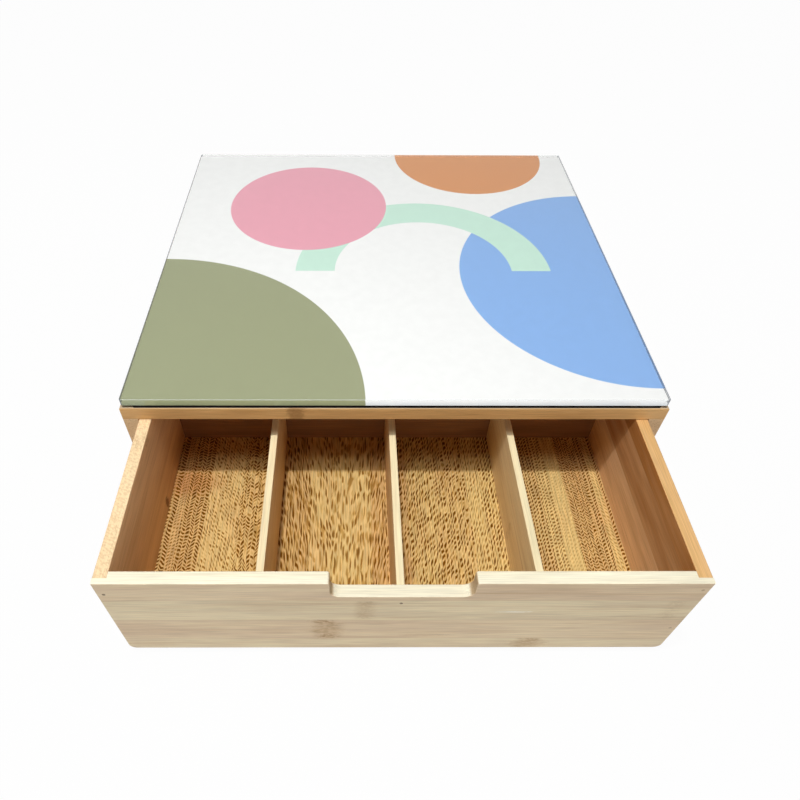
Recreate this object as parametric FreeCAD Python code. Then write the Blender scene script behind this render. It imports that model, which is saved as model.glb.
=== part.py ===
import FreeCAD, Part
import os

# Tea bag drawer box: a bamboo case with a glass plate on top and one wide drawer.
# Millimetres. X runs to the right, Y away from the drawer's front, Z up.
# The origin is the centre of the case's underside, and the drawer is drawn partly open.

# Bamboo case
case_width = 300.0
case_depth = 280.0
case_height = 88.2
top_thickness = 8.7
side_thickness = 8.3
bottom_thickness = 6.0
back_thickness = 5.0
case_edge_round = 0.8

# Glass plate
glass_thickness = 4.5
glass_side_inset = 1.3
glass_front_inset = 0.3
glass_back_inset = 2.0
glass_corner_radius = 1.2
glass_edge_round = 0.5

# Black double-sided tape under the glass
tape_thickness = 2.0
tape_width = 10.0
tape_edge_inset = 1.7
front_tape_inset = 0.2
front_tape_left_gap = 6.5
front_tape_right_gap = 4.0
tape_end_gap = 2.0

# Drawer's fit in the case
drawer_open_at_rest = 98.0
drawer_side_clearance = 0.5
drawer_top_clearance = 0.5
drawer_bottom_clearance = 0.3
drawer_back_clearance = 1.5

# Drawer boards
front_thickness = 6.5
front_tongue = 3.0
drawer_back_thickness = 6.5
drawer_side_thickness = 6.7
front_corner_radius = 4.0
drawer_edge_round = 0.5

# Finger notch in the drawer's front
notch_width = 67.0
notch_depth = 13.1
notch_corner_radius = 5.0
notch_lip_radius = 1.5

# Drawer's floor board, let into grooves
floor_thickness = 4.2
floor_rise = 6.0
groove_depth = 3.0
groove_clearance = 0.1

# Dividers and the partition that crosses them
divider_thickness = 4.0
divider_drop = 17.3
divider_count = 3
divider_edge_round = 0.4
front_compartment_depth = 130.0
lap_clearance = 0.1

# Steel brads, with heads flush with the wood
brad_radius = 0.55
brad_length = 18.0
brad_head_radius = 0.8
brad_head_thickness = 0.5
brad_fit = 0.02
left_brad_drop = 10.3
right_brad_drop = 6.3
lower_brad_drop = 47.7
middle_brad_drop = 19.6
side_brad_shares = (0.1, 0.5, 0.9)
back_brad_shares = (0.25, 0.75)

# Length by which a cutter runs past the face that it cuts
overrun = 1.0
# Two places closer than this are the same place
same_place = 0.001

# Case faces
half_width = case_width / 2
front_plane = -case_depth / 2
back_plane = case_depth / 2
opening_bottom = bottom_thickness
opening_top = case_height - top_thickness
opening_half_width = half_width - side_thickness

# Glass faces
glass_left = glass_side_inset - half_width
glass_right = half_width - glass_side_inset
glass_front = front_plane + glass_front_inset
glass_back = back_plane - glass_back_inset
glass_bottom = case_height + tape_thickness

# Drawer faces
drawer_half_width = opening_half_width - drawer_side_clearance
drawer_bottom = opening_bottom + drawer_bottom_clearance
drawer_top = opening_top - drawer_top_clearance
drawer_front = front_plane - drawer_open_at_rest
drawer_depth = case_depth - back_thickness - drawer_back_clearance
drawer_back = drawer_front + drawer_depth
inner_half_width = drawer_half_width - drawer_side_thickness
inner_front = drawer_front + front_thickness
inner_back = drawer_back - drawer_back_thickness
floor_bottom = drawer_bottom + floor_rise
floor_top = floor_bottom + floor_thickness
divider_top = drawer_top - divider_drop
partition_front = inner_front + front_compartment_depth
partition_back = partition_front + divider_thickness

# Divider places, which leave compartments of one width
compartment_width = (2 * inner_half_width - divider_count * divider_thickness) / (divider_count + 1)
divider_pitch = compartment_width + divider_thickness
divider_centres = [(i - (divider_count - 1) / 2) * divider_pitch for i in range(divider_count)]
divider_names = ["divider_left", "divider_middle", "divider_right"]


def block(x0, x1, y0, y1, z0, z1):
    """A box between two corners."""
    return Part.makeBox(x1 - x0, y1 - y0, z1 - z0, FreeCAD.Vector(x0, y0, z0))


def at(value, place):
    """True where two places are the same."""
    return abs(value - place) < same_place


def flat_in(bounds, axis, place):
    """True where an edge's bounds lie in the plane at this place on the axis."""
    low = {"x": bounds.XMin, "y": bounds.YMin, "z": bounds.ZMin}[axis]
    high = {"x": bounds.XMax, "y": bounds.YMax, "z": bounds.ZMax}[axis]
    return at(low, place) and at(high, place)


def round_edges(shape, radius, keep):
    """Round the edges whose bounds the test keeps."""
    edges = [edge for edge in shape.Edges if keep(edge.BoundBox)]
    return shape.makeFillet(radius, edges)


def upright(bounds):
    """True for an edge that stands along Z."""
    return at(bounds.XMin, bounds.XMax) and at(bounds.YMin, bounds.YMax)


def make_case_top():
    """Board over the two sides, with its upper edges eased."""
    board = block(-half_width, half_width, front_plane, back_plane, opening_top, case_height)
    return round_edges(board, case_edge_round, lambda b: flat_in(b, "z", case_height))


def make_case_side(hand):
    """Upright board on the left (-1) or the right (1)."""
    outer = hand * half_width
    inner = hand * opening_half_width
    x0, x1 = sorted((outer, inner))
    return block(x0, x1, front_plane, back_plane, opening_bottom, opening_top)


def make_case_bottom():
    """Board under the two sides, with its lower edges eased."""
    board = block(-half_width, half_width, front_plane, back_plane, 0, opening_bottom)
    return round_edges(board, case_edge_round, lambda b: flat_in(b, "z", 0))


def make_case_back():
    """Board that closes the case between its sides."""
    front = back_plane - back_thickness
    return block(-opening_half_width, opening_half_width, front, back_plane, opening_bottom, opening_top)


def make_glass():
    """Plate with round corners and a polished upper edge."""
    plate = block(glass_left, glass_right, glass_front, glass_back,
                  glass_bottom, glass_bottom + glass_thickness)
    plate = round_edges(plate, glass_corner_radius, upright)
    top = glass_bottom + glass_thickness
    return round_edges(plate, glass_edge_round, lambda b: flat_in(b, "z", top))


def make_tape(place):
    """One strip of tape between the case and the glass."""
    front = glass_front + front_tape_inset
    back = glass_back - tape_edge_inset
    left = glass_left + tape_edge_inset
    right = glass_right - tape_edge_inset
    side_front = front + tape_width + tape_end_gap
    side_back = back - tape_width - tape_end_gap
    if place == "front":
        spans = (glass_left + front_tape_left_gap, glass_right - front_tape_right_gap,
                 front, front + tape_width)
    elif place == "back":
        spans = (left, right, back - tape_width, back)
    elif place == "left":
        spans = (left, left + tape_width, side_front, side_back)
    else:
        spans = (right - tape_width, right, side_front, side_back)
    return block(*spans, case_height, glass_bottom)


def cut_rabbets(board, inner_face, inward, thickness):
    """Cut the end rabbets that leave a tongue over the side boards' ends."""
    floor = inner_face - inward * (thickness - front_tongue)
    y0, y1 = sorted((inner_face + inward * overrun, floor))
    for hand in (-1, 1):
        x0, x1 = sorted((hand * inner_half_width, hand * (drawer_half_width + overrun)))
        board = board.cut(block(x0, x1, y0, y1, drawer_bottom - overrun, drawer_top + overrun))
    return board


def cut_floor_groove(board, inner_face, inward):
    """Cut the groove for the floor board into a front or back board."""
    y0, y1 = sorted((inner_face + inward * overrun, inner_face - inward * groove_depth))
    return board.cut(block(-inner_half_width, inner_half_width, y0, y1,
                           floor_bottom, floor_top + groove_clearance))


def make_drawer_front():
    """Front board with a finger notch, round lower corners, rabbets and a groove."""
    board = block(-drawer_half_width, drawer_half_width, drawer_front, inner_front,
                  drawer_bottom, drawer_top)
    board = round_edges(board, front_corner_radius,
                        lambda b: flat_in(b, "z", drawer_bottom) and at(b.XMin, b.XMax))
    half_notch = notch_width / 2
    notch_floor = drawer_top - notch_depth
    notch = block(-half_notch, half_notch, drawer_front - overrun, inner_front + overrun,
                  notch_floor, drawer_top + overrun)
    notch = round_edges(notch, notch_corner_radius,
                        lambda b: flat_in(b, "z", notch_floor) and at(b.XMin, b.XMax))
    board = board.cut(notch)
    board = round_edges(board, notch_lip_radius,
                        lambda b: flat_in(b, "z", drawer_top) and at(abs(b.XMin), half_notch)
                        and at(b.XMin, b.XMax))
    board = round_edges(board, drawer_edge_round, lambda b: flat_in(b, "y", drawer_front))
    board = round_edges(board, drawer_edge_round,
                        lambda b: flat_in(b, "y", inner_front) and b.ZMax > notch_floor - same_place
                        and abs(b.XMin + b.XMax) / 2 < drawer_half_width - same_place)
    board = cut_rabbets(board, inner_front, 1, front_thickness)
    return cut_floor_groove(board, inner_front, 1)


def make_drawer_back():
    """Back board, jointed as the front is."""
    board = block(-drawer_half_width, drawer_half_width, inner_back, drawer_back,
                  drawer_bottom, drawer_top)
    board = round_edges(board, drawer_edge_round,
                        lambda b: flat_in(b, "z", drawer_top) and at(b.YMin, b.YMax))
    board = cut_rabbets(board, inner_back, -1, drawer_back_thickness)
    return cut_floor_groove(board, inner_back, -1)


def make_drawer_side(hand):
    """Side board on the left (-1) or the right (1), grooved for the floor."""
    x0, x1 = sorted((hand * drawer_half_width, hand * inner_half_width))
    y0 = drawer_front + front_tongue
    y1 = drawer_back - front_tongue
    board = block(x0, x1, y0, y1, drawer_bottom, drawer_top)
    board = round_edges(board, drawer_edge_round,
                        lambda b: flat_in(b, "z", drawer_top) and at(b.XMin, b.XMax))
    g0, g1 = sorted((hand * (inner_half_width - overrun), hand * (inner_half_width + groove_depth)))
    return board.cut(block(g0, g1, y0 - overrun, y1 + overrun,
                           floor_bottom, floor_top + groove_clearance))


def make_drawer_floor():
    """Floor board that lies in the four grooves."""
    reach = groove_depth - groove_clearance
    half = inner_half_width + reach
    return block(-half, half, inner_front - reach, inner_back + reach, floor_bottom, floor_top)


def make_divider(centre):
    """Board that runs from the front to the back, slotted from above for the partition."""
    x0 = centre - divider_thickness / 2
    x1 = centre + divider_thickness / 2
    board = block(x0, x1, inner_front, inner_back, floor_top, divider_top)
    board = round_edges(board, divider_edge_round,
                        lambda b: flat_in(b, "z", divider_top) and at(b.XMin, b.XMax))
    lap = (floor_top + divider_top) / 2
    return board.cut(block(x0 - overrun, x1 + overrun, partition_front - lap_clearance,
                           partition_back + lap_clearance, lap, divider_top + overrun))


def make_partition():
    """Board across the drawer, slotted from below over the dividers."""
    board = block(-inner_half_width, inner_half_width, partition_front, partition_back,
                  floor_top, divider_top)
    board = round_edges(board, divider_edge_round,
                        lambda b: flat_in(b, "z", divider_top) and at(b.YMin, b.YMax))
    lap = (floor_top + divider_top) / 2
    reach = divider_thickness / 2 + lap_clearance
    for centre in divider_centres:
        board = board.cut(block(centre - reach, centre + reach, partition_front - overrun,
                                partition_back + overrun, floor_top - overrun, lap))
    return board


def pin(head, direction, margin):
    """A brad driven from its head's outer face, or with a margin the hole that it fits."""
    start = head - direction * (overrun if margin else 0)
    lead = overrun + margin if margin else 0
    shank = Part.makeCylinder(brad_radius + margin, brad_length + lead, start, direction)
    cap = Part.makeCylinder(brad_head_radius + margin, brad_head_thickness + lead, start, direction)
    return shank.fuse(cap).removeSplitter()


def case_plate_pins(face, direction):
    """Brads through the top or bottom board into the sides and the back."""
    places = []
    for hand in (-1, 1):
        for share in side_brad_shares:
            places.append((hand * (half_width - side_thickness / 2), front_plane + share * case_depth))
    for share in back_brad_shares:
        places.append((share * case_width - half_width, back_plane - back_thickness / 2))
    return [(FreeCAD.Vector(x, y, face), direction) for x, y in places]


def case_back_pins():
    """Brads through the sides into the back board's ends."""
    y = back_plane - back_thickness / 2
    pins = []
    for hand in (-1, 1):
        for share in back_brad_shares:
            z = opening_bottom + share * (opening_top - opening_bottom)
            pins.append((FreeCAD.Vector(hand * half_width, y, z), FreeCAD.Vector(-hand, 0, 0)))
    return pins


def drawer_front_pins():
    """Brads that show in the drawer's front."""
    end = drawer_half_width - drawer_side_thickness / 2
    places = [(-end, left_brad_drop), (end, right_brad_drop), (end, lower_brad_drop),
              (0, middle_brad_drop)]
    return [(FreeCAD.Vector(x, drawer_front, drawer_top - drop), FreeCAD.Vector(0, 1, 0))
            for x, drop in places]


def drawer_back_pins():
    """Brads through the drawer's back into its sides and the middle divider."""
    end = drawer_half_width - drawer_side_thickness / 2
    places = [(hand * end, drop) for hand in (-1, 1) for drop in (left_brad_drop, lower_brad_drop)]
    places.append((0, middle_brad_drop))
    return [(FreeCAD.Vector(x, drawer_back, drawer_top - drop), FreeCAD.Vector(0, -1, 0))
            for x, drop in places]


def make_boards():
    """Every piece but the brads, by name."""
    boards = {
        "case_top_panel": make_case_top(),
        "case_left_side": make_case_side(-1),
        "case_right_side": make_case_side(1),
        "case_bottom_panel": make_case_bottom(),
        "case_back_panel": make_case_back(),
        "glass_top": make_glass(),
        "drawer_front": make_drawer_front(),
        "drawer_back": make_drawer_back(),
        "drawer_left_side": make_drawer_side(-1),
        "drawer_right_side": make_drawer_side(1),
        "drawer_bottom": make_drawer_floor(),
        "cross_partition": make_partition(),
    }
    for place in ("front", "back", "left", "right"):
        boards["glass_tape_" + place] = make_tape(place)
    for name, centre in zip(divider_names, divider_centres):
        boards[name] = make_divider(centre)
    return boards


def drive_brads(boards):
    """Drill each group's holes in the boards that it holds, and return the groups."""
    up = FreeCAD.Vector(0, 0, 1)
    case_uprights = ["case_left_side", "case_right_side", "case_back_panel"]
    drawer_sides = ["drawer_left_side", "drawer_right_side", "divider_middle"]
    groups = {
        "case_top_brads": (case_plate_pins(case_height, -up), ["case_top_panel"] + case_uprights),
        "case_bottom_brads": (case_plate_pins(0, up), ["case_bottom_panel"] + case_uprights),
        "case_back_brads": (case_back_pins(), case_uprights),
        "drawer_front_brads": (drawer_front_pins(), ["drawer_front"] + drawer_sides),
        "drawer_back_brads": (drawer_back_pins(), ["drawer_back"] + drawer_sides),
    }
    brads = {}
    for group, (pins, held) in groups.items():
        brads[group] = Part.Compound([pin(head, direction, 0) for head, direction in pins])
        holes = [pin(head, direction, brad_fit) for head, direction in pins]
        for name in held:
            near = [hole for hole in holes if hole.common(boards[name]).Volume > 0]
            if near:
                boards[name] = boards[name].cut(near)
    return brads


def single_solid(shape):
    """The one solid that a cut left."""
    return shape.Solids[0] if len(shape.Solids) == 1 else shape


def write_parts():
    """Write one STEP file per piece."""
    os.makedirs("parts", exist_ok=True)
    boards = make_boards()
    brads = drive_brads(boards)
    for name, shape in {**boards, **brads}.items():
        single_solid(shape).exportStep("parts/" + name + ".step")
        print(name, len(shape.Solids), round(shape.Volume))


write_parts()
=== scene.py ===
import math
import bmesh
import bpy
from mathutils import Matrix, Vector


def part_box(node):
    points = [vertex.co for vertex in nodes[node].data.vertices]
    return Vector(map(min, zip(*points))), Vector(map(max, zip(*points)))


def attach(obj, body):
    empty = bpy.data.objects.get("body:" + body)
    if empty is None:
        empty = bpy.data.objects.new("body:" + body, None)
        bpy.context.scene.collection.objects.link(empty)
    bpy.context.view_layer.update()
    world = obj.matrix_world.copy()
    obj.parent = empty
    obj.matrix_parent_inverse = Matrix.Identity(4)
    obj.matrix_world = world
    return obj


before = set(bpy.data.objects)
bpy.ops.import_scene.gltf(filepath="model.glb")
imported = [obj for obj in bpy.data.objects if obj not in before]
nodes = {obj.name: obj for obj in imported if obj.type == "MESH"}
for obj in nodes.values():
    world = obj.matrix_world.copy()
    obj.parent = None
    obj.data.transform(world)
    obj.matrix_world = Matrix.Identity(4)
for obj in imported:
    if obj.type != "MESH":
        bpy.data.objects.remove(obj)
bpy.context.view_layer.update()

scene = bpy.context.scene
mm = 0.001
usualCut = (0.3, 0.7)                    # the stretch of a noise over which most effects rise
print("frame loaded:", len(nodes), "pieces")


# Small helpers for node trees

def newMaterial(name):
    material = bpy.data.materials.new(name)
    material.use_nodes = True
    material.node_tree.nodes.clear()
    return material, material.node_tree


def feed(tree, value, socket):
    if isinstance(value, bpy.types.NodeSocket):
        tree.links.new(value, socket)
    elif value is not None:
        socket.default_value = value


def place(tree, kind, settings=None, inputs=None):
    node = tree.nodes.new(kind)
    for key, value in (settings or {}).items():
        setattr(node, key, value)
    for key, value in (inputs or {}).items():
        feed(tree, value, node.inputs[key])
    return node


def calc(tree, operation, a, b=None, c=None, clamp=False):
    node = place(tree, "ShaderNodeMath", {"operation": operation, "use_clamp": clamp})
    for socket, value in zip(node.inputs, (a, b, c)):
        feed(tree, value, socket)
    return node.outputs[0]


def ramp(tree, value, low, high, start=0.0, end=1.0):
    node = place(tree, "ShaderNodeMapRange", {"interpolation_type": "SMOOTHSTEP"},
                 {"Value": value, "From Min": low, "From Max": high, "To Min": start, "To Max": end})
    return node.outputs["Result"]


# the same, from depth below nothing to depth above it
def sway(tree, value, cut, depth):
    return ramp(tree, value, *cut, -depth, depth)


# steps of three values, each from its own place on
def lookUp(tree, share, stops):
    node = place(tree, "ShaderNodeValToRGB", None, {"Fac": share})
    node.color_ramp.interpolation = "CONSTANT"
    elements = node.color_ramp.elements
    elements.remove(elements[1])
    for index, (start, values) in enumerate(stops):
        element = elements.new(start) if index else elements[0]
        element.position = start
        element.color = (*values, 1.0)
    return place(tree, "ShaderNodeSeparateColor", None, {0: node.outputs["Color"]}).outputs


def blend(tree, share, under, over):
    node = place(tree, "ShaderNodeMix", {"data_type": "RGBA", "clamp_factor": True})
    for socket, value in ((node.inputs[0], share), (node.inputs[6], under), (node.inputs[7], over)):
        feed(tree, (*value, 1.0) if isinstance(value, tuple) else value, socket)
    return node.outputs[2]


def brighten(tree, colour, level):
    return place(tree, "ShaderNodeHueSaturation", None, {"Color": colour, "Value": level}).outputs[0]


def joined(tree, x, y, z):
    return place(tree, "ShaderNodeCombineXYZ", None, {0: x, 1: y, 2: z}).outputs[0]


def distance(tree, x, y):
    node = place(tree, "ShaderNodeVectorMath", {"operation": "LENGTH"}, {0: joined(tree, x, y, 0.0)})
    return node.outputs["Value"]


# how far a value is from its origin, in the unit given
def measured(tree, value, origin, unit):
    return calc(tree, "DIVIDE", calc(tree, "SUBTRACT", value, origin), unit)


def noise(tree, values, periods, detail=2.0, roughness=0.5):
    vector = joined(tree, *(calc(tree, "DIVIDE", value, period) for value, period in zip(values, periods)))
    node = place(tree, "ShaderNodeTexNoise", None,
                 {"Vector": vector, "Scale": 1.0, "Detail": detail, "Roughness": roughness})
    return node.outputs["Fac"]


def chance(tree, value, seed):
    shifted = calc(tree, "ADD", value, seed)
    node = place(tree, "ShaderNodeTexWhiteNoise", {"noise_dimensions": "1D"}, {"W": shifted})
    return node.outputs["Value"]


# "Object" gives the place on the piece, "Normal" the way that its surface faces
def axes(tree, output):
    coords = place(tree, "ShaderNodeTexCoord")
    split = place(tree, "ShaderNodeSeparateXYZ", None, {0: coords.outputs[output]})
    return dict(zip("XYZ", split.outputs))


def finishSurface(tree, look, colour, roughness, height):
    lift = place(tree, "ShaderNodeBump", None,
                 {"Height": height, "Strength": look["bump"], "Distance": look["bumpDepth"]})
    shader = place(tree, "ShaderNodeBsdfPrincipled", None,
                   {"Base Color": colour, "Roughness": roughness, "Normal": lift.outputs[0],
                    "Specular IOR Level": look["shine"]})
    place(tree, "ShaderNodeOutputMaterial", None, {"Surface": shader.outputs[0]})
    return shader


def dress(material, *names):
    for name in names:
        data = nodes[name].data
        data.materials.clear()
        data.materials.append(material)


# Bamboo boards, each glued up from strips

bambooBase = {
    "grain": "X",                        # the way the strips run
    "stack": "Z",                        # the way they lie side by side
    "pitch": 21.7 * mm,
    "offset": 3.0 * mm,
    "seed": 1.0,
    "tones": None,                       # from 0, dark, to 1, pale, for each strip in turn
    "toneDrift": 0.35,                   # how far a strip's tone strays along it
    "pale": (0.81, 0.68, 0.45),
    "dark": (0.765, 0.58, 0.385),
    "streak": (0.60, 0.40, 0.22),
    "edge": (0.92, 0.86, 0.66),          # the sawn upper edge
    "endGrain": (0.50, 0.36, 0.21),
    "knot": (0.38, 0.21, 0.08),
    "poreShare": 0.0,                    # slanting pores in the sawn upper edge
    "streakShare": 0.4,
    "cloudDepth": 0.055,
    "fibreDepth": 0.11,
    "roughness": (0.45, 0.58),
    "bump": 0.2,
    "bumpDepth": 0.1 * mm,
    "shine": 0.2,
    "rings": 0.35,                       # strength of the growth rings that fall at random
    "ringGap": 240 * mm,
    "marks": [],                         # growth rings with a place: along, across, length, height, strength
    "spots": [],                         # knots and scratches: the same, then a colour
}

# what all boards share
wood = {
    "slide": 2.9,                        # how far one strip's pattern can be moved from the next one's
    # noise: periods along the grain, across it and through the board, detail, roughness
    "clouds": ((70 * mm, 9 * mm, 9 * mm), 2.0, 0.5),
    "streaks": ((75 * mm, 2.6 * mm, 2.6 * mm), 3.0, 0.6),
    "threads": ((34 * mm, 0.9 * mm, 0.9 * mm), 2.0, 0.5),
    "fibres": ((20 * mm, 0.5 * mm, 0.5 * mm), 2.0, 0.6),
    "blots": ((2.6 * mm, 1.2 * mm, 1.2 * mm), 3.0, 0.6),
    # pores: along, through, across; wobble: across, through, and one place for each strip
    "pores": ((1.1 * mm, 1.6 * mm, 9 * mm), 1.0, 0.5),
    "wobble": ((4 * mm, 4 * mm, 1.0), 2.0, 0.5),
    "poreSlant": 0.5,
    # where each effect sets in and where it is full, then its share
    "streakCut": (0.5, 0.74),
    "threadCut": (0.54, 0.7, 0.0, 0.7),
    "fibreCut": (0.25, 0.75),
    "seamCut": (0.47, 0.5, 0.0, 0.35),   # in strip widths from the strip's middle
    "edgeCut": (0.4, 0.75, 0.0, 0.35),
    "poreCut": (0.42, 0.62),
    "wobbleCut": (0.2, 0.8),
    "spotCut": (1.05, 0.55),
    "raggedDepth": 0.25,                 # how far blots eat into a spot's outline
    "upwardCut": (0.5, 0.85),
    "endCut": (0.6, 0.9),
    "tubeScale": 1100.0,                 # tubes per metre in the end grain
    "tubeCut": (0.36, 0.12, 0.0, 0.7),
}

# a growth ring is a wavy line in a blotchy patch; what it measures is in shares of its length and height
ring = {
    "length": 9 * mm,                    # of the rings that fall at random
    "height": 1.0,                       # more than any board's
    "lineBend": 0.5,
    "lineShares": (0.14, 0.03),
    "lineStrength": 0.5,
    "patchBend": 0.22,
    "patchShares": (0.66, 0.12),
    "blotCut": (0.38, 0.62),
    "rimShares": (0.15, 0.4),
    "middleStrength": 0.55,
    "endShares": (0.57, 0.40),
}


def growthRing(tree, near, beside, length, height, blots, wobble):
    def scaled(shares, size):
        return [share * size for share in shares]

    core = calc(tree, "ADD", near, calc(tree, "MULTIPLY", wobble, length * ring["lineBend"]))
    line = ramp(tree, calc(tree, "ABSOLUTE", core), *scaled(ring["lineShares"], length))
    leaning = calc(tree, "ADD", near, calc(tree, "MULTIPLY", wobble, length * ring["patchBend"]))
    patch = ramp(tree, calc(tree, "ABSOLUTE", leaning), *scaled(ring["patchShares"], length))
    rims = ramp(tree, beside, *scaled(ring["rimShares"], height), ring["middleStrength"], 1.0)
    spots = calc(tree, "MULTIPLY", calc(tree, "MULTIPLY", patch, rims), ramp(tree, blots, *ring["blotCut"]))
    both = calc(tree, "MAXIMUM", calc(tree, "MULTIPLY", line, ring["lineStrength"]), spots)
    return calc(tree, "MULTIPLY", both, ramp(tree, beside, *scaled(ring["endShares"], height)))


def bamboo(name, **changes):
    look = {**bambooBase, **changes}
    material, tree = newMaterial(name)
    where, facing = axes(tree, "Object"), axes(tree, "Normal")
    along, across = where[look["grain"]], where[look["stack"]]
    through = where[({"X", "Y", "Z"} - {look["grain"], look["stack"]}).pop()]

    # one tone for each strip
    row = calc(tree, "DIVIDE", calc(tree, "ADD", across, look["offset"]), look["pitch"])
    index = calc(tree, "FLOOR", row)
    luck = chance(tree, index, look["seed"])
    if look["tones"]:
        count = len(look["tones"])
        share = calc(tree, "DIVIDE", calc(tree, "ADD", index, 0.5), count)
        tone = lookUp(tree, share, [(i / count, (t, t, t)) for i, t in enumerate(look["tones"])])[0]
    else:
        tone = luck
    longWays = calc(tree, "ADD", along, calc(tree, "MULTIPLY", luck, wood["slide"]))
    clouds, streaks, threads, fibres = (
        noise(tree, (longWays, across, through), *wood[layer])
        for layer in ("clouds", "streaks", "threads", "fibres"))
    tone = calc(tree, "ADD", tone, sway(tree, clouds, usualCut, look["toneDrift"]), clamp=True)
    colour = blend(tree, tone, look["dark"], look["pale"])

    # long reddish streaks, and a thin glue line between strips
    drawn = calc(tree, "ADD", ramp(tree, streaks, *wood["streakCut"]),
                 ramp(tree, threads, *wood["threadCut"]))
    colour = blend(tree, calc(tree, "MULTIPLY", drawn, look["streakShare"]), colour, look["streak"])
    fromMiddle = calc(tree, "ABSOLUTE", calc(tree, "SUBTRACT", calc(tree, "FRACT", row), 0.5))
    colour = blend(tree, ramp(tree, fromMiddle, *wood["seamCut"]), colour, look["streak"])

    # sawn upper edges, with slanting pores
    edge = blend(tree, ramp(tree, streaks, *wood["edgeCut"]), look["edge"], look["pale"])
    slanted = calc(tree, "ADD", along, calc(tree, "MULTIPLY", through, wood["poreSlant"]))
    pores = noise(tree, (slanted, through, across), *wood["pores"])
    edge = blend(tree, ramp(tree, pores, *wood["poreCut"], 0.0, look["poreShare"]), edge, look["streak"])
    colour = blend(tree, ramp(tree, facing["Z"], *wood["upwardCut"]), colour, edge)

    # growth rings, knots and scratches
    blots = noise(tree, (along, across, through), *wood["blots"])
    wobble = sway(tree, noise(tree, (across, through, luck), *wood["wobble"]), wood["wobbleCut"], 1.0)
    turn = calc(tree, "FRACT", calc(tree, "DIVIDE", longWays, look["ringGap"]))
    near = calc(tree, "MULTIPLY", calc(tree, "SUBTRACT", turn, 0.5), look["ringGap"])
    ringMask = growthRing(tree, near, 0.0, ring["length"], ring["height"], blots, wobble)
    ringMask = calc(tree, "MULTIPLY", ringMask, look["rings"])
    for markAlong, markAcross, length, height, strength in look["marks"]:
        near = calc(tree, "SUBTRACT", along, markAlong)
        beside = calc(tree, "ABSOLUTE", calc(tree, "SUBTRACT", across, markAcross))
        mark = growthRing(tree, near, beside, length, height, blots, wobble)
        ringMask = calc(tree, "MAXIMUM", ringMask, calc(tree, "MULTIPLY", mark, strength))
    colour = blend(tree, ringMask, colour, look["knot"])
    for spotAlong, spotAcross, length, height, strength, paint in look["spots"]:
        reach = distance(tree, measured(tree, along, spotAlong, length / 2),
                         measured(tree, across, spotAcross, height / 2))
        reach = calc(tree, "ADD", reach, sway(tree, blots, usualCut, wood["raggedDepth"]))
        mask = calc(tree, "MULTIPLY", ramp(tree, reach, *wood["spotCut"]), strength)
        colour = blend(tree, mask, colour, paint)

    # end grain
    ends = ramp(tree, calc(tree, "ABSOLUTE", facing[look["grain"]]), *wood["endCut"])
    tubes = place(tree, "ShaderNodeTexVoronoi", None,
                  {"Vector": joined(tree, *where.values()), "Scale": wood["tubeScale"]})
    porous = ramp(tree, tubes.outputs["Distance"], *wood["tubeCut"])
    porous = blend(tree, porous, look["endGrain"], look["knot"])
    colour = blend(tree, ends, colour, porous)

    level = ramp(tree, fibres, *wood["fibreCut"], 1 - look["fibreDepth"], 1 + look["fibreDepth"])
    level = calc(tree, "ADD", level, sway(tree, clouds, usualCut, look["cloudDepth"]))
    rough = ramp(tree, streaks, *usualCut, *look["roughness"])
    finishSurface(tree, look, brighten(tree, colour, level), rough, fibres)
    return material


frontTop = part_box("drawer_front")[1].z
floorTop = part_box("drawer_bottom")[1].z
caseLow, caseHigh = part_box("case_top_panel")
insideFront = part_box("divider_middle")[0].y

frontLook = {
    "seed": 4.0,
    # strip joints lie 16.5, 38.2 and 60 mm below the upper edge
    "offset": 3 * bambooBase["pitch"] - (frontTop - 16.5 * mm),
    "tones": [0.7, 0.3, 1.0, 0.25],
    "rings": 0.0,
    "marks": [
        (-36 * mm, frontTop - 49 * mm, 14 * mm, 23 * mm, 0.85),
        (-17 * mm, frontTop - 27 * mm, 10 * mm, 20 * mm, 0.4),
        (69 * mm, frontTop - 67 * mm, 13 * mm, 14 * mm, 0.75),
        (131 * mm, frontTop - 27 * mm, 9 * mm, 20 * mm, 0.25),
    ],
    "spots": [
        (-36 * mm, frontTop - 49 * mm, 18 * mm, 22 * mm, 0.3, (0.52, 0.33, 0.15)),
        (14 * mm, frontTop - 56 * mm, 30 * mm, 3 * mm, 0.35, (0.56, 0.37, 0.19)),
        (69 * mm, frontTop - 67 * mm, 22 * mm, 14 * mm, 0.35, (0.52, 0.33, 0.15)),
        (-17 * mm, frontTop - 27 * mm, 12 * mm, 20 * mm, 0.15, (0.52, 0.33, 0.15)),
        # a pale scratch on the front, its near-white colour partly a painted highlight
        (55 * mm, frontTop - 29 * mm, 25 * mm, 1.2 * mm, 0.9, (1.0, 0.94, 0.82)),
    ],
}
dress(bamboo("frontBamboo", **frontLook), "drawer_front")
dress(bamboo("backBamboo", seed=9.0), "drawer_back")

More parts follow.
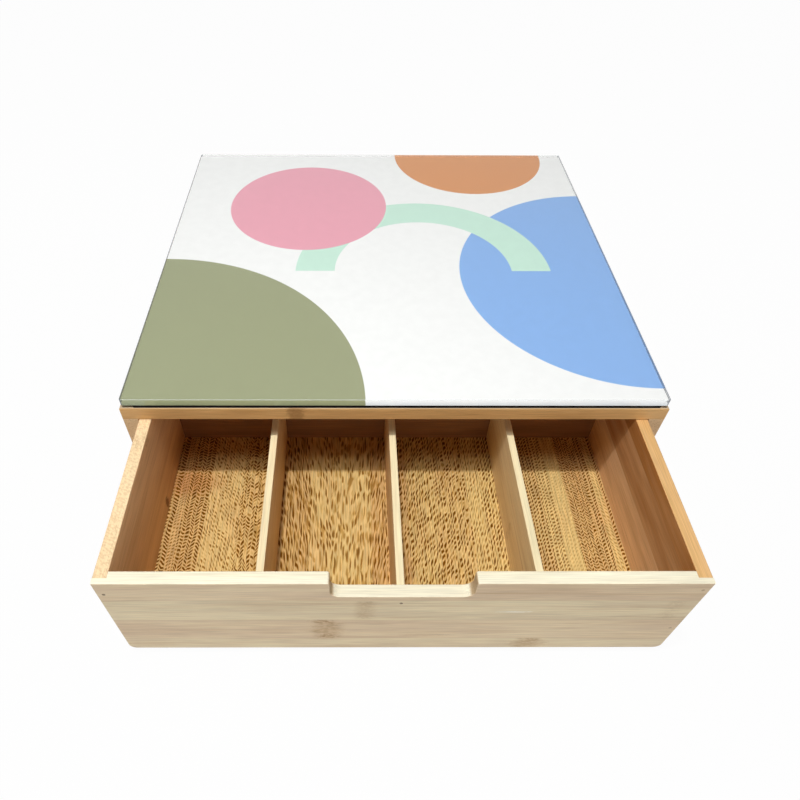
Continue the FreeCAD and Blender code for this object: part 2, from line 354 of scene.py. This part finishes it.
# the drawer's inner boards are darker
inner = {
    "grain": "Y",
    "pale": (0.87, 0.56, 0.31),
    "dark": (0.76, 0.45, 0.235),
    "streak": (0.56, 0.31, 0.14),
    "cloudDepth": 0.03,
    "streakShare": 0.3,
}
leftLook = {
    **inner,
    "seed": 12.0,
    "edge": (0.91, 0.70, 0.42),
    "poreShare": 0.3,
    "rings": 0.0,
    "marks": [(insideFront + 76 * mm, frontTop, 9 * mm, 10 * mm, 0.5)],
    "spots": [(insideFront + 75.6 * mm, floorTop + 5 * mm, 6 * mm, 10 * mm, 0.85, (0.22, 0.09, 0.03))],
}
dress(bamboo("leftBamboo", **leftLook), "drawer_left_side")
rightLook = {
    **inner,
    "seed": 15.0,
    # one strip joint lies 29.7 mm above the floor
    "offset": 3 * bambooBase["pitch"] - floorTop - 29.7 * mm,
    "edge": (0.72, 0.43, 0.17),
    "dark": (0.45, 0.185, 0.05),
    "tones": [1.0, 1.0, 0.9, 0.25, 0.0],
    "toneDrift": 0.15,
    "streakShare": 0.18,
    "fibreDepth": 0.14,
    "rings": 0.0,
}
dress(bamboo("rightBamboo", **rightLook), "drawer_right_side")
dividerLook = {
    **inner,
    "seed": 21.0,
    "pale": (0.84, 0.60, 0.33),
    "dark": (0.76, 0.50, 0.25),
    "edge": (0.91, 0.79, 0.50),
}
dress(bamboo("dividerBamboo", **dividerLook), "divider_left", "divider_middle")
rightDividerLook = {
    **dividerLook,
    "seed": 23.0,
    "pale": (0.93, 0.73, 0.41),
    "dark": (0.88, 0.66, 0.35),
    "rings": 0.0,
    "marks": [(insideFront + 52 * mm, floorTop + 11 * mm, 6 * mm, 15 * mm, 0.4)],
}
dress(bamboo("rightDividerBamboo", **rightDividerLook), "divider_right")
# painted shade: the cross partition's colour is made dark, standing in for the shade under the case top
partitionShadeLook = {
    **inner,
    "grain": "X",
    "seed": 25.0,
    "pale": (0.42, 0.23, 0.14),
    "dark": (0.32, 0.17, 0.10),
}
dress(bamboo("partitionShadeBamboo", **partitionShadeLook), "cross_partition")

caseLook = {
    "pale": (0.77, 0.49, 0.21),
    "dark": (0.66, 0.38, 0.15),
    "streak": (0.48, 0.25, 0.08),
    "edge": (0.50, 0.38, 0.25),
    "endGrain": (0.73, 0.51, 0.285),
}
caseTopLook = {
    **caseLook,
    "stack": "Y",
    "seed": 31.0,
    "rings": 0.0,
    "marks": [(-54 * mm, caseLow.y, 8 * mm, 20 * mm, 0.8)],
    "spots": [(-54 * mm, caseLow.y, 11 * mm, 30 * mm, 0.5, (0.30, 0.15, 0.05))],
}
dress(bamboo("caseTopBamboo", **caseTopLook), "case_top_panel")
dress(bamboo("caseBottomBamboo", **caseLook, stack="Y", seed=35.0), "case_bottom_panel")
dress(bamboo("caseSideBamboo", **caseLook, grain="Y", seed=41.0), "case_left_side", "case_right_side")
dress(bamboo("caseBackBamboo", **caseLook, seed=45.0), "case_back_panel")
print("boards dressed")


# Drawer floor, a flecked bamboo veneer laid in strips

floorLook = {
    "gold": (0.78, 0.57, 0.235),
    "tan": (0.68, 0.43, 0.185),
    "warmDepth": 0.22,                   # how far large clouds shift the ground between the two
    "russet": (0.56, 0.25, 0.10),
    "russetPatch": (-126 * mm, -138 * mm, 26 * mm, 15 * mm),
    "russetCut": (1.0, 0.3, 0.0, 0.7),
    "stain": (0.44, 0.21, 0.01),         # the warm brown round each fleck
    "stainCut": (0.0, 0.6, 0.0, 0.65),
    "fleck": (0.15, 0.048, 0.0),
    "fleckCut": (0.3, 0.95, 0.0, 0.96),
    "tipCut": (0.06, -0.14),             # in pitches past the half length, where a fleck sets in and is full
    "silkTaper": 0.2,                    # how much longer its tips are in silky strips
    "sideCut": (0.5, 0.22),              # the same across, in pitches from the column's middle
    "keepCut": (0.2, 0.8, 0.2, 1.0),     # how weak flecks get where they scatter
    "joinedShare": 0.3,                  # how far the flecks of a zigzag strip join across the columns
    "swingDepth": 0.6,                   # how far loose columns wander, in pitches
    "driftDepth": 0.5,                   # how far their rows do
    "strayCut": (0.25, 0.75),
    "ripple": 0.8 * mm,                  # how far all flecks stray along the strip
    "silkCentre": (-35 * mm, -185 * mm),
    "silkReach": 30 * mm,                # to either side of the centre, where the fan opens fully
    "silkFan": 0.2,
    "boldCut": (0.5, 0.72),
    "thinCut": (0.48, 0.75, 0.0, 0.5),
    "fibreTone": (0.80, 1.17),
    "roughness": 0.5,
    "bump": 0.2,
    "bumpDepth": 0.1 * mm,
    "shine": 0.06,
    "seed": 3.0,
    # noise: two periods, a place of its own, detail
    "swing": (6 * mm, 24 * mm, 0.0, 2.0),
    "drift": (20 * mm, 6 * mm, 0.3, 2.0),
    "rippling": (2.6 * mm, 9 * mm, 0.6, 2.0),
    "bold": (1.7 * mm, 12 * mm, 0.7, 2.0),
    "thin": (0.9 * mm, 15 * mm, 0.2, 1.0),
    "clouds": (14 * mm, 34 * mm, 0.0, 2.0),
    "fibres": (0.9 * mm, 14 * mm, 0.0, 2.0),
    "longest": 16.0 * mm,                # the largest pitch that a strip may name
    "steepest": 1.1,                     # rows that a fleck of lean 1 climbs across its column
    "strips": [
        # width, then the flecks: pitch across, pitch along, half length, lean, strength, warmth, scatter;
        # 1 where every second column leans the other way and the flecks join;
        # strength of the long silky streaks
        (7.4, 3.7, 2.4, 0.32, 1.0, 1.00, 0.9, 0.3, 1, 0.0),
        (3.5, 1.8, 2.2, 0.27, -0.4, 0.70, 0.9, 0.4, 0, 0.0),
        (13.8, 2.6, 2.3, 0.34, 0.9, 1.00, 0.7, 0.5, 1, 0.1),
        (20.7, 1.9, 2.8, 0.31, 0.9, 0.75, 0.4, 0.75, 0, 0.25),
        (20.5, 2.1, 2.6, 0.35, -0.8, 1.00, 0.5, 0.7, 1, 0.45),
        (8.5, 1.8, 6.5, 0.37, 0.5, 0.95, 1.0, 0.75, 0, 0.6),
        (13.0, 1.8, 7.5, 0.37, 0.9, 0.90, 0.8, 0.75, 0, 0.6),
        (14.0, 1.7, 8.5, 0.36, 0.6, 0.80, 0.4, 0.8, 0, 0.5),
        (10.0, 1.7, 10.0, 0.37, 0.1, 0.70, 0.2, 0.8, 0, 0.5),
        (14.0, 1.7, 10.0, 0.37, -0.3, 0.75, 0.3, 0.8, 0, 0.55),
        (8.0, 1.8, 7.5, 0.37, -0.9, 0.95, 0.9, 0.75, 0, 0.6),
        (8.0, 1.9, 5.0, 0.35, -0.9, 0.95, 0.8, 0.7, 0, 0.5),
        (6.0, 1.9, 4.4, 0.33, -0.8, 0.95, 0.9, 0.7, 0, 0.4),
        (17.3, 1.8, 4.2, 0.34, -0.9, 1.00, 0.3, 0.7, 0, 0.4),
        (20.0, 1.9, 3.7, 0.34, -0.9, 1.00, 0.5, 0.7, 0, 0.4),
        (8.7, 1.8, 4.4, 0.31, -0.9, 0.70, 0.1, 0.6, 0, 0.2),
        (14.0, 1.9, 3.8, 0.34, -0.9, 0.95, 0.2, 0.6, 0, 0.2),
        (16.0, 2.1, 2.6, 0.34, -0.8, 1.00, 0.6, 0.5, 0, 0.0),
        (7.0, 2.2, 2.6, 0.32, -0.8, 0.90, 0.5, 0.4, 0, 0.0),
        (7.0, 2.1, 2.4, 0.29, -0.7, 0.75, 0.1, 0.4, 0, 0.0),
        (8.5, 2.0, 2.4, 0.27, -0.7, 0.40, 0.0, 0.4, 0, 0.0),
        (13.5, 1.9, 2.2, 0.32, 0.8, 0.90, 0.8, 0.5, 1, 0.0),
        (5.0, 2.5, 2.2, 0.31, -0.9, 0.90, 0.7, 0.3, 0, 0.0),
        (4.4, 2.2, 2.6, 0.27, 0.8, 0.50, 0.3, 0.2, 0, 0.0),
        (6.0, 2.2, 2.4, 0.31, -0.9, 0.95, 0.8, 0.3, 0, 0.0),
    ],
}


def floorNoise(tree, layer, a, b):
    first, second, own, detail = floorLook[layer]
    return noise(tree, (a, b, own), (first, second, 1.0), detail)


# what the table of strips says at each place across the floor
def readStrips(tree, x):
    low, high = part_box("drawer_bottom")
    strips, longest = floorLook["strips"], floorLook["longest"]
    total = sum(strip[0] for strip in strips)
    starts = [sum(strip[0] for strip in strips[:i]) / total for i in range(len(strips))]
    share = measured(tree, x, low.x, high.x - low.x)
    pitches = [(strip[1] * mm / longest, strip[2] * mm / longest, strip[3]) for strip in strips]
    leans = [(0.5 + strip[4] / 2, strip[8], strip[9]) for strip in strips]
    return [lookUp(tree, share, list(zip(starts, values)))
            for values in (pitches, [strip[5:8] for strip in strips], leans)]


# flecks stand in columns that follow the strips, and loose ones wander
def drawFlecks(tree, x, y, pitches, lean, strength, scatter, swaps, silky):
    look, longest = floorLook, floorLook["longest"]
    pitchAcross, pitchAlong, halfLength = pitches
    swing = sway(tree, floorNoise(tree, "swing", x, y), look["strayCut"], look["swingDepth"])
    column = calc(tree, "DIVIDE", x, calc(tree, "MULTIPLY", pitchAcross, longest))
    column = calc(tree, "ADD", column, calc(tree, "MULTIPLY", swing, scatter))
    acrossCell = calc(tree, "SUBTRACT", calc(tree, "FRACT", column), 0.5)
    columnIndex = calc(tree, "FLOOR", column)
    odd = calc(tree, "MULTIPLY", calc(tree, "PINGPONG", columnIndex, 1.0), swaps)
    slope = calc(tree, "MULTIPLY", calc(tree, "SUBTRACT", lean, 0.5), 2 * look["steepest"])
    slope = calc(tree, "MULTIPLY", slope, calc(tree, "SUBTRACT", 1.0, calc(tree, "MULTIPLY", odd, 2.0)))

    row = calc(tree, "DIVIDE", y, calc(tree, "MULTIPLY", pitchAlong, longest))
    row = calc(tree, "ADD", row, calc(tree, "MULTIPLY", slope, acrossCell))
    row = calc(tree, "ADD", row, calc(tree, "MULTIPLY", chance(tree, columnIndex, look["seed"]), scatter))
    drift = sway(tree, floorNoise(tree, "drift", y, x), look["strayCut"], look["driftDepth"])
    ripple = sway(tree, floorNoise(tree, "rippling", x, y), look["strayCut"], look["ripple"] / longest)
    row = calc(tree, "ADD", row, calc(tree, "ADD", calc(tree, "MULTIPLY", drift, scatter),
                                      calc(tree, "DIVIDE", ripple, pitchAlong)))
    alongCell = calc(tree, "ABSOLUTE", calc(tree, "SUBTRACT", calc(tree, "FRACT", row), 0.5))

    outside, inside = look["tipCut"]
    taper = calc(tree, "MULTIPLY", silky, look["silkTaper"])
    inLength = ramp(tree, calc(tree, "SUBTRACT", alongCell, halfLength),
                    calc(tree, "ADD", taper, outside), calc(tree, "SUBTRACT", inside, taper))
    joins = calc(tree, "MULTIPLY", swaps, look["joinedShare"])
    inWidth = ramp(tree, calc(tree, "ABSOLUTE", acrossCell), *look["sideCut"], joins)
    flecks = calc(tree, "MULTIPLY", calc(tree, "MULTIPLY", inLength, inWidth), strength)
    cell = joined(tree, columnIndex, calc(tree, "FLOOR", row), 0.0)
    luck = place(tree, "ShaderNodeTexWhiteNoise", {"noise_dimensions": "2D"}, {"Vector": cell})
    keep = calc(tree, "SUBTRACT", 1.0, calc(tree, "MULTIPLY", luck.outputs["Value"], scatter))
    return calc(tree, "MULTIPLY", flecks, ramp(tree, keep, *look["keepCut"]))


# long silky streaks, which fan out towards the front
def drawSilk(tree, x, y):
    look = floorLook
    centreX, centreY = look["silkCentre"]
    fan = ramp(tree, x, centreX - look["silkReach"], centreX + look["silkReach"],
               look["silkFan"], -look["silkFan"])
    bent = calc(tree, "MULTIPLY_ADD", calc(tree, "SUBTRACT", y, centreY), fan, x)
    bold = ramp(tree, floorNoise(tree, "bold", bent, y), *look["boldCut"])
    thin = ramp(tree, floorNoise(tree, "thin", bent, y), *look["thinCut"])
    return calc(tree, "ADD", bold, thin, clamp=True)


def veneer():
    look = floorLook
    material, tree = newMaterial("floorVeneer")
    where = axes(tree, "Object")
    x, y = where["X"], where["Y"]
    pitches, (strength, warmth, scatter), (lean, swaps, silky) = readStrips(tree, x)
    flecks = drawFlecks(tree, x, y, pitches, lean, strength, scatter, swaps, silky)
    flecks = calc(tree, "MAXIMUM", flecks, calc(tree, "MULTIPLY", drawSilk(tree, x, y), silky))

    # ground: gold or tan in large soft clouds, russet in one corner
    clouds = sway(tree, floorNoise(tree, "clouds", x, y), usualCut, look["warmDepth"])
    warm = calc(tree, "ADD", warmth, clouds, clamp=True)
    ground = blend(tree, warm, look["gold"], look["tan"])
    patchX, patchY, length, width = look["russetPatch"]
    reach = distance(tree, measured(tree, x, patchX, length), measured(tree, y, patchY, width))
    ground = blend(tree, ramp(tree, reach, *look["russetCut"]), ground, look["russet"])
    colour = blend(tree, ramp(tree, flecks, *look["stainCut"]), ground, look["stain"])
    colour = blend(tree, ramp(tree, flecks, *look["fleckCut"]), colour, look["fleck"])
    fibres = floorNoise(tree, "fibres", x, y)
    level = ramp(tree, fibres, *usualCut, *look["fibreTone"])
    finishSurface(tree, look, brighten(tree, colour, level), look["roughness"], fibres)
    return material


dress(veneer(), "drawer_bottom")
print("floor veneer done")


# Tape and brads

# noise, here and below: periods along X, Y and Z, then detail
tapeLook = {
    "dark": (0.002, 0.002, 0.003),
    "light": (0.008, 0.008, 0.009),
    "weave": ((1.1 * mm, 1.1 * mm, 1.1 * mm), 3.0),
    "roughness": 0.85,
    "bump": 0.2,
    "bumpDepth": 0.1 * mm,
    "shine": 0.1,
}


def tapeBlack():
    look = tapeLook
    material, tree = newMaterial("tapeBlack")
    weave = noise(tree, axes(tree, "Object").values(), *look["weave"])
    colour = blend(tree, ramp(tree, weave, *usualCut), look["dark"], look["light"])
    finishSurface(tree, look, colour, look["roughness"], weave)
    return material


bradLook = {
    "dark": (0.17, 0.11, 0.07),
    "light": (0.36, 0.26, 0.17),
    "grime": ((0.4 * mm, 0.4 * mm, 0.4 * mm), 3.0),
    "dust": (0.66, 0.48, 0.30),          # fills the heads at the right end
    "dustCut": (60 * mm, 110 * mm, 0.0, 0.75),
    "roughness": (0.5, 0.7),
    "metallic": 0.3,
    "bump": 0.1,
    "bumpDepth": 0.05 * mm,
    "shine": 0.2,
}


def bradSteel():
    look = bradLook
    material, tree = newMaterial("bradSteel")
    where = axes(tree, "Object")
    grime = noise(tree, where.values(), *look["grime"])
    colour = blend(tree, grime, look["dark"], look["light"])
    colour = blend(tree, ramp(tree, where["X"], *look["dustCut"]), colour, look["dust"])
    shader = finishSurface(tree, look, colour, ramp(tree, grime, *usualCut, *look["roughness"]), grime)
    shader.inputs["Metallic"].default_value = look["metallic"]
    return material


dress(tapeBlack(), "glass_tape_front", "glass_tape_back", "glass_tape_left", "glass_tape_right")
dress(bradSteel(), "case_top_brads", "case_bottom_brads", "case_back_brads",
      "drawer_front_brads", "drawer_back_brads")
print("tape and brads done")


# Glass plate, and the print on its underside

glassLook = {
    "tint": (0.86, 0.93, 0.96),
    "density": 5.0,
    "ior": 1.5,
    "face": (1.0, 1.0, 1.0),
    "frontTop": (0.95, 0.96, 0.97),      # painted shade and highlight: the edges are painted darker than the plate, the front face darker towards its foot
    "frontFootShade": (0.50, 0.55, 0.60),
    "sideEdgeShade": (0.05, 0.07, 0.11),
    "backEdgeShade": (0.30, 0.33, 0.36),
    "arrisHighlight": (0.90, 0.94, 0.96),
    # how far a face has to turn before each edge's colour sets in and is full
    "frontCut": (-0.2, -0.75),
    "sideCut": (0.03, 0.3),
    "arrisFrontCut": (-0.12, -0.4),
    "arrisTopCut": (0.15, 0.5),
    "arrisMilk": 0.45,
    "milkyEdges": 0.25,                  # transmission left in the side and back edges
    "grinding": (2 * mm, 2 * mm, 2 * mm),
    "edgeRoughness": (0.03, 0.09),
}


def clearGlass():
    look = glassLook
    material, tree = newMaterial("clearGlass")
    where, facing = axes(tree, "Object"), axes(tree, "Normal")
    low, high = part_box("glass_top")
    # painted shade and highlight: dark side and back edges and a front face that darkens towards its foot
    # stand in for shade seen through the glass, and a pale band along the front arris for its highlight
    front = ramp(tree, facing["Y"], *look["frontCut"])
    side = ramp(tree, calc(tree, "ABSOLUTE", facing["X"]), *look["sideCut"])
    back = ramp(tree, facing["Y"], *look["sideCut"])
    arrisHighlight = calc(tree, "MULTIPLY", ramp(tree, facing["Y"], *look["arrisFrontCut"]),
                 ramp(tree, facing["Z"], *look["arrisTopCut"]))
    frontShadedColour = blend(tree, ramp(tree, where["Z"], low.z, high.z), look["frontFootShade"], look["frontTop"])
    colour = blend(tree, front, look["face"], frontShadedColour)
    for share, paint in ((arrisHighlight, look["arrisHighlight"]), (back, look["backEdgeShade"]), (side, look["sideEdgeShade"])):
        colour = blend(tree, share, colour, paint)
    sideOrBack = calc(tree, "MAXIMUM", side, back)
    grinding = noise(tree, where.values(), look["grinding"])
    rough = calc(tree, "MULTIPLY", calc(tree, "MAXIMUM", front, sideOrBack),
                 ramp(tree, grinding, *usualCut, *look["edgeRoughness"]))
    # the painted edges are made partly opaque, so that their painted shade and highlight show
    milky = calc(tree, "MAXIMUM", calc(tree, "MULTIPLY", arrisHighlight, look["arrisMilk"]), sideOrBack)
    shader = place(tree, "ShaderNodeBsdfPrincipled", None,
                   {"Base Color": colour, "Roughness": rough, "IOR": look["ior"],
                    "Transmission Weight": ramp(tree, milky, 0.0, 1.0, 1.0, look["milkyEdges"])})

    # light passes straight through to the print
    clear = place(tree, "ShaderNodeBsdfTransparent")
    rays = place(tree, "ShaderNodeLightPath")
    soft = calc(tree, "MAXIMUM", rays.outputs["Is Shadow Ray"], rays.outputs["Is Diffuse Ray"])
    mix = place(tree, "ShaderNodeMixShader", None, {0: soft, 1: shader.outputs[0], 2: clear.outputs[0]})
    body = place(tree, "ShaderNodeVolumeAbsorption", None,
                 {"Color": (*look["tint"], 1.0), "Density": look["density"]})
    place(tree, "ShaderNodeOutputMaterial", None, {"Surface": mix.outputs[0], "Volume": body.outputs[0]})
    return material


dress(clearGlass(), "glass_top")
glassLow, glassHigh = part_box("glass_top")
plateCentre = (glassLow + glassHigh) / 2

printLook = {
    "inset": 0.06 * mm,
    "lift": 0.04 * mm,
    "thickness": 0.08 * mm,
    "cornerRadius": 1.1 * mm,
    "cornerSteps": 8,
    "ground": (0.90, 0.905, 0.885),
    "softEdge": 0.2 * mm,
    "paintedFalloff": (1.0, 0.98),                 # painted shade: level at the front and at the back, darker towards the back
    "grain": ((7 * mm, 7 * mm, 1.0), 4.0),
    "grainTone": (0.985, 1.01),
    "roughness": 0.6,
    "bump": 0.0,
    "bumpDepth": 0.01 * mm,
    "shine": 0.5,
    "shapes": [
        # form, colour, centre x and y in mm from the plate's centre, radius, band width or facing
        ("half", (0.66, 0.26, 0.07), (72, 139), 60, (0.0, -1.0)),
        ("disc", (0.28, 0.30, 0.155), (-148, -139), 132, None),
        ("half", (0.215, 0.42, 0.79), (150, -26), 102, (-1.0, 0.0)),
        ("arch", (0.55, 0.80, 0.66), (24, -20), 72, 26),
        ("disc", (0.80, 0.34, 0.42), (-56, 62), 58, None),
    ],
}


def plateMesh(name, low, high):
    radius, steps = printLook["cornerRadius"], printLook["cornerSteps"]
    mesh = bpy.data.meshes.new(name)
    bm = bmesh.new()
    outline = []
    for cx, cy, start in ((high.x - radius, high.y - radius, 0), (low.x + radius, high.y - radius, 90),
                          (low.x + radius, low.y + radius, 180), (high.x - radius, low.y + radius, 270)):
        for step in range(steps + 1):
            angle = math.radians(start + 90 * step / steps)
            outline.append((cx + radius * math.cos(angle), cy + radius * math.sin(angle)))
    under = bm.faces.new([bm.verts.new((x, y, low.z)) for x, y in outline])
    raised = bmesh.ops.extrude_face_region(bm, geom=[under])
    bmesh.ops.translate(bm, vec=(0, 0, high.z - low.z),
                        verts=[v for v in raised["geom"] if isinstance(v, bmesh.types.BMVert)])
    bmesh.ops.recalc_face_normals(bm, faces=bm.faces)
    bm.to_mesh(mesh)
    bm.free()
    piece = bpy.data.objects.new(name, mesh)
    scene.collection.objects.link(piece)
    return piece


def printInk():
    look = printLook
    material, tree = newMaterial("printInk")
    where = axes(tree, "Object")
    colour, soft = look["ground"], look["softEdge"]
    for form, ink, centre, radius, extra in look["shapes"]:
        dx = calc(tree, "SUBTRACT", where["X"], plateCentre.x + centre[0] * mm)
        dy = calc(tree, "SUBTRACT", where["Y"], plateCentre.y + centre[1] * mm)
        reach = distance(tree, dx, dy)
        if form == "arch":
            reach = calc(tree, "ABSOLUTE", calc(tree, "SUBTRACT", reach, radius * mm))
            radius, extra = extra / 2, (0.0, 1.0)
        mask = ramp(tree, reach, radius * mm + soft, radius * mm - soft)
        if extra:
            side = calc(tree, "MULTIPLY", dx, extra[0])
            side = calc(tree, "MULTIPLY_ADD", dy, extra[1], side)
            mask = calc(tree, "MULTIPLY", mask, ramp(tree, side, -soft, soft))
        colour = blend(tree, mask, colour, ink)
    grain = noise(tree, (where["X"], where["Y"], 0.0), *look["grain"])
    # painted shade: the print darkens slightly towards the back, with a fine grain on top
    level = calc(tree, "MULTIPLY", ramp(tree, where["Y"], glassLow.y, glassHigh.y, *look["paintedFalloff"]),
                 ramp(tree, grain, *usualCut, *look["grainTone"]))
    finishSurface(tree, look, brighten(tree, colour, level), look["roughness"], grain)
    return material


inset = Vector((printLook["inset"], printLook["inset"], 0))
printLow = glassLow + inset + Vector((0, 0, printLook["lift"]))
printHigh = glassHigh - inset
printHigh.z = printLow.z + printLook["thickness"]
topPrint = plateMesh("top_print", printLow, printHigh)
topPrint.data.materials.append(printInk())
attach(topPrint, "case")
print("glass and print done")


# Floor, light and camera

stageLook = {
    "floorSize": 8.0,
    "floorParts": 4,
    "floorDrop": 0.2 * mm,
    "floorColour": (0.72, 0.72, 0.72),
    "backdropShare": 0.97,
    # the studio dome: a bright low band, a dim middle and a soft light overhead
    "horizon": 0.95,
    "middle": 0.04,
    "zenith": 0.9,
    "horizonCut": (0.42, 0.30),          # heights on the dome, from 0 at the horizon to 1 overhead
    "zenithCut": (0.88, 0.96),
}
white = (1.0, 1.0, 1.0, 1.0)


def backdropRays(tree):
    rays = place(tree, "ShaderNodeLightPath")
    seen = calc(tree, "ADD", rays.outputs["Is Camera Ray"], rays.outputs["Is Glossy Ray"], clamp=True)
    return calc(tree, "ADD", seen, rays.outputs["Is Transmission Ray"], clamp=True)


def paleFloor():
    material, tree = newMaterial("paleFloor")
    matt = place(tree, "ShaderNodeBsdfDiffuse", None, {"Color": (*stageLook["floorColour"], 1.0)})
    glow = place(tree, "ShaderNodeEmission", None, {"Color": white, "Strength": 1.0})
    share = calc(tree, "MULTIPLY", backdropRays(tree), stageLook["backdropShare"])
    mix = place(tree, "ShaderNodeMixShader", None, {0: share, 1: matt.outputs[0], 2: glow.outputs[0]})
    place(tree, "ShaderNodeOutputMaterial", None, {"Surface": mix.outputs[0]})
    return material


def makeFloor():
    look = stageLook
    mesh = bpy.data.meshes.new("floor")
    bm = bmesh.new()
    bmesh.ops.create_grid(bm, x_segments=look["floorParts"], y_segments=look["floorParts"],
                          size=look["floorSize"] / 2)
    bm.to_mesh(mesh)
    bm.free()
    floor = bpy.data.objects.new("floor", mesh)
    floor.location = (0, 0, -look["floorDrop"])
    scene.collection.objects.link(floor)
    mesh.materials.append(paleFloor())


def studioWorld():
    look = stageLook
    world = bpy.data.worlds.new("studio")
    world.use_nodes = True
    tree = world.node_tree
    tree.nodes.clear()
    height = axes(tree, "Generated")["Z"]
    band = ramp(tree, height, *look["horizonCut"], look["middle"], look["horizon"])
    dome = calc(tree, "ADD", band, ramp(tree, height, *look["zenithCut"], 0.0, look["zenith"]))
    light = place(tree, "ShaderNodeBackground", None, {"Color": white, "Strength": dome})
    plain = place(tree, "ShaderNodeBackground", None, {"Color": white, "Strength": 1.0})
    mix = place(tree, "ShaderNodeMixShader", None,
                {0: backdropRays(tree), 1: light.outputs[0], 2: plain.outputs[0]})
    place(tree, "ShaderNodeOutputWorld", None, {"Surface": mix.outputs[0]})
    scene.world = world


# lamps: level that they give straight below, size, tilt in degrees towards the front, place to the left
lampRig = {
    "height": 1.0,
    "keyLamp": {"level": 0.64, "size": (47 * mm, 47 * mm), "tilt": 9.9, "beside": -110 * mm},
    "softLamp": {"level": 0.24, "size": (650 * mm, 230 * mm), "tilt": 17.2, "beside": -250 * mm},
}


def hangLamp(name):
    look, height = lampRig[name], lampRig["height"]
    data = bpy.data.lights.new(name, "AREA")
    data.shape = "ELLIPSE"
    data.size, data.size_y = look["size"]
    tilt = math.radians(look["tilt"])
    data.energy = look["level"] * (math.pi * height / math.cos(tilt)) ** 2
    lamp = bpy.data.objects.new(name, data)
    lamp.location = (look["beside"], caseLow.y - height * math.tan(tilt), caseHigh.z + height)
    lamp.rotation_euler = (tilt, 0, 0)
    scene.collection.objects.link(lamp)


cameraLook = {
    "focalPixels": 638.0,
    "principalX": 355.6,                 # where the view axis meets the 800 pixel wide frame
    "frameWidth": 800,
    "sensorWidth": 36.0,
    "clipStart": 0.01,
    "pitch": 0.8254,
    "yaw": 0.0080,
    "roll": 0.0066,
    "beside": -23.3 * mm,
    "before": 231.9 * mm,                # in front of the case's front face
    "above": 258.1 * mm,                 # above the case's top board
}


def makeCamera():
    look = cameraLook
    data = bpy.data.cameras.new("camera")
    data.sensor_width = look["sensorWidth"]
    data.lens = look["focalPixels"] * look["sensorWidth"] / look["frameWidth"]
    data.shift_x = 0.5 - look["principalX"] / look["frameWidth"]
    data.clip_start = look["clipStart"]
    camera = bpy.data.objects.new("camera", data)
    spot = Matrix.Translation((look["beside"], caseLow.y - look["before"], caseHigh.z + look["above"]))
    camera.matrix_world = (spot @ Matrix.Rotation(-look["yaw"], 4, "Z")
                           @ Matrix.Rotation(math.pi / 2 - look["pitch"], 4, "X")
                           @ Matrix.Rotation(look["roll"], 4, "Z"))
    scene.collection.objects.link(camera)
    scene.camera = camera


makeFloor()
studioWorld()
hangLamp("keyLamp")
hangLamp("softLamp")
makeCamera()
scene.view_settings.view_transform = "Standard"
print("stage, light and camera done")
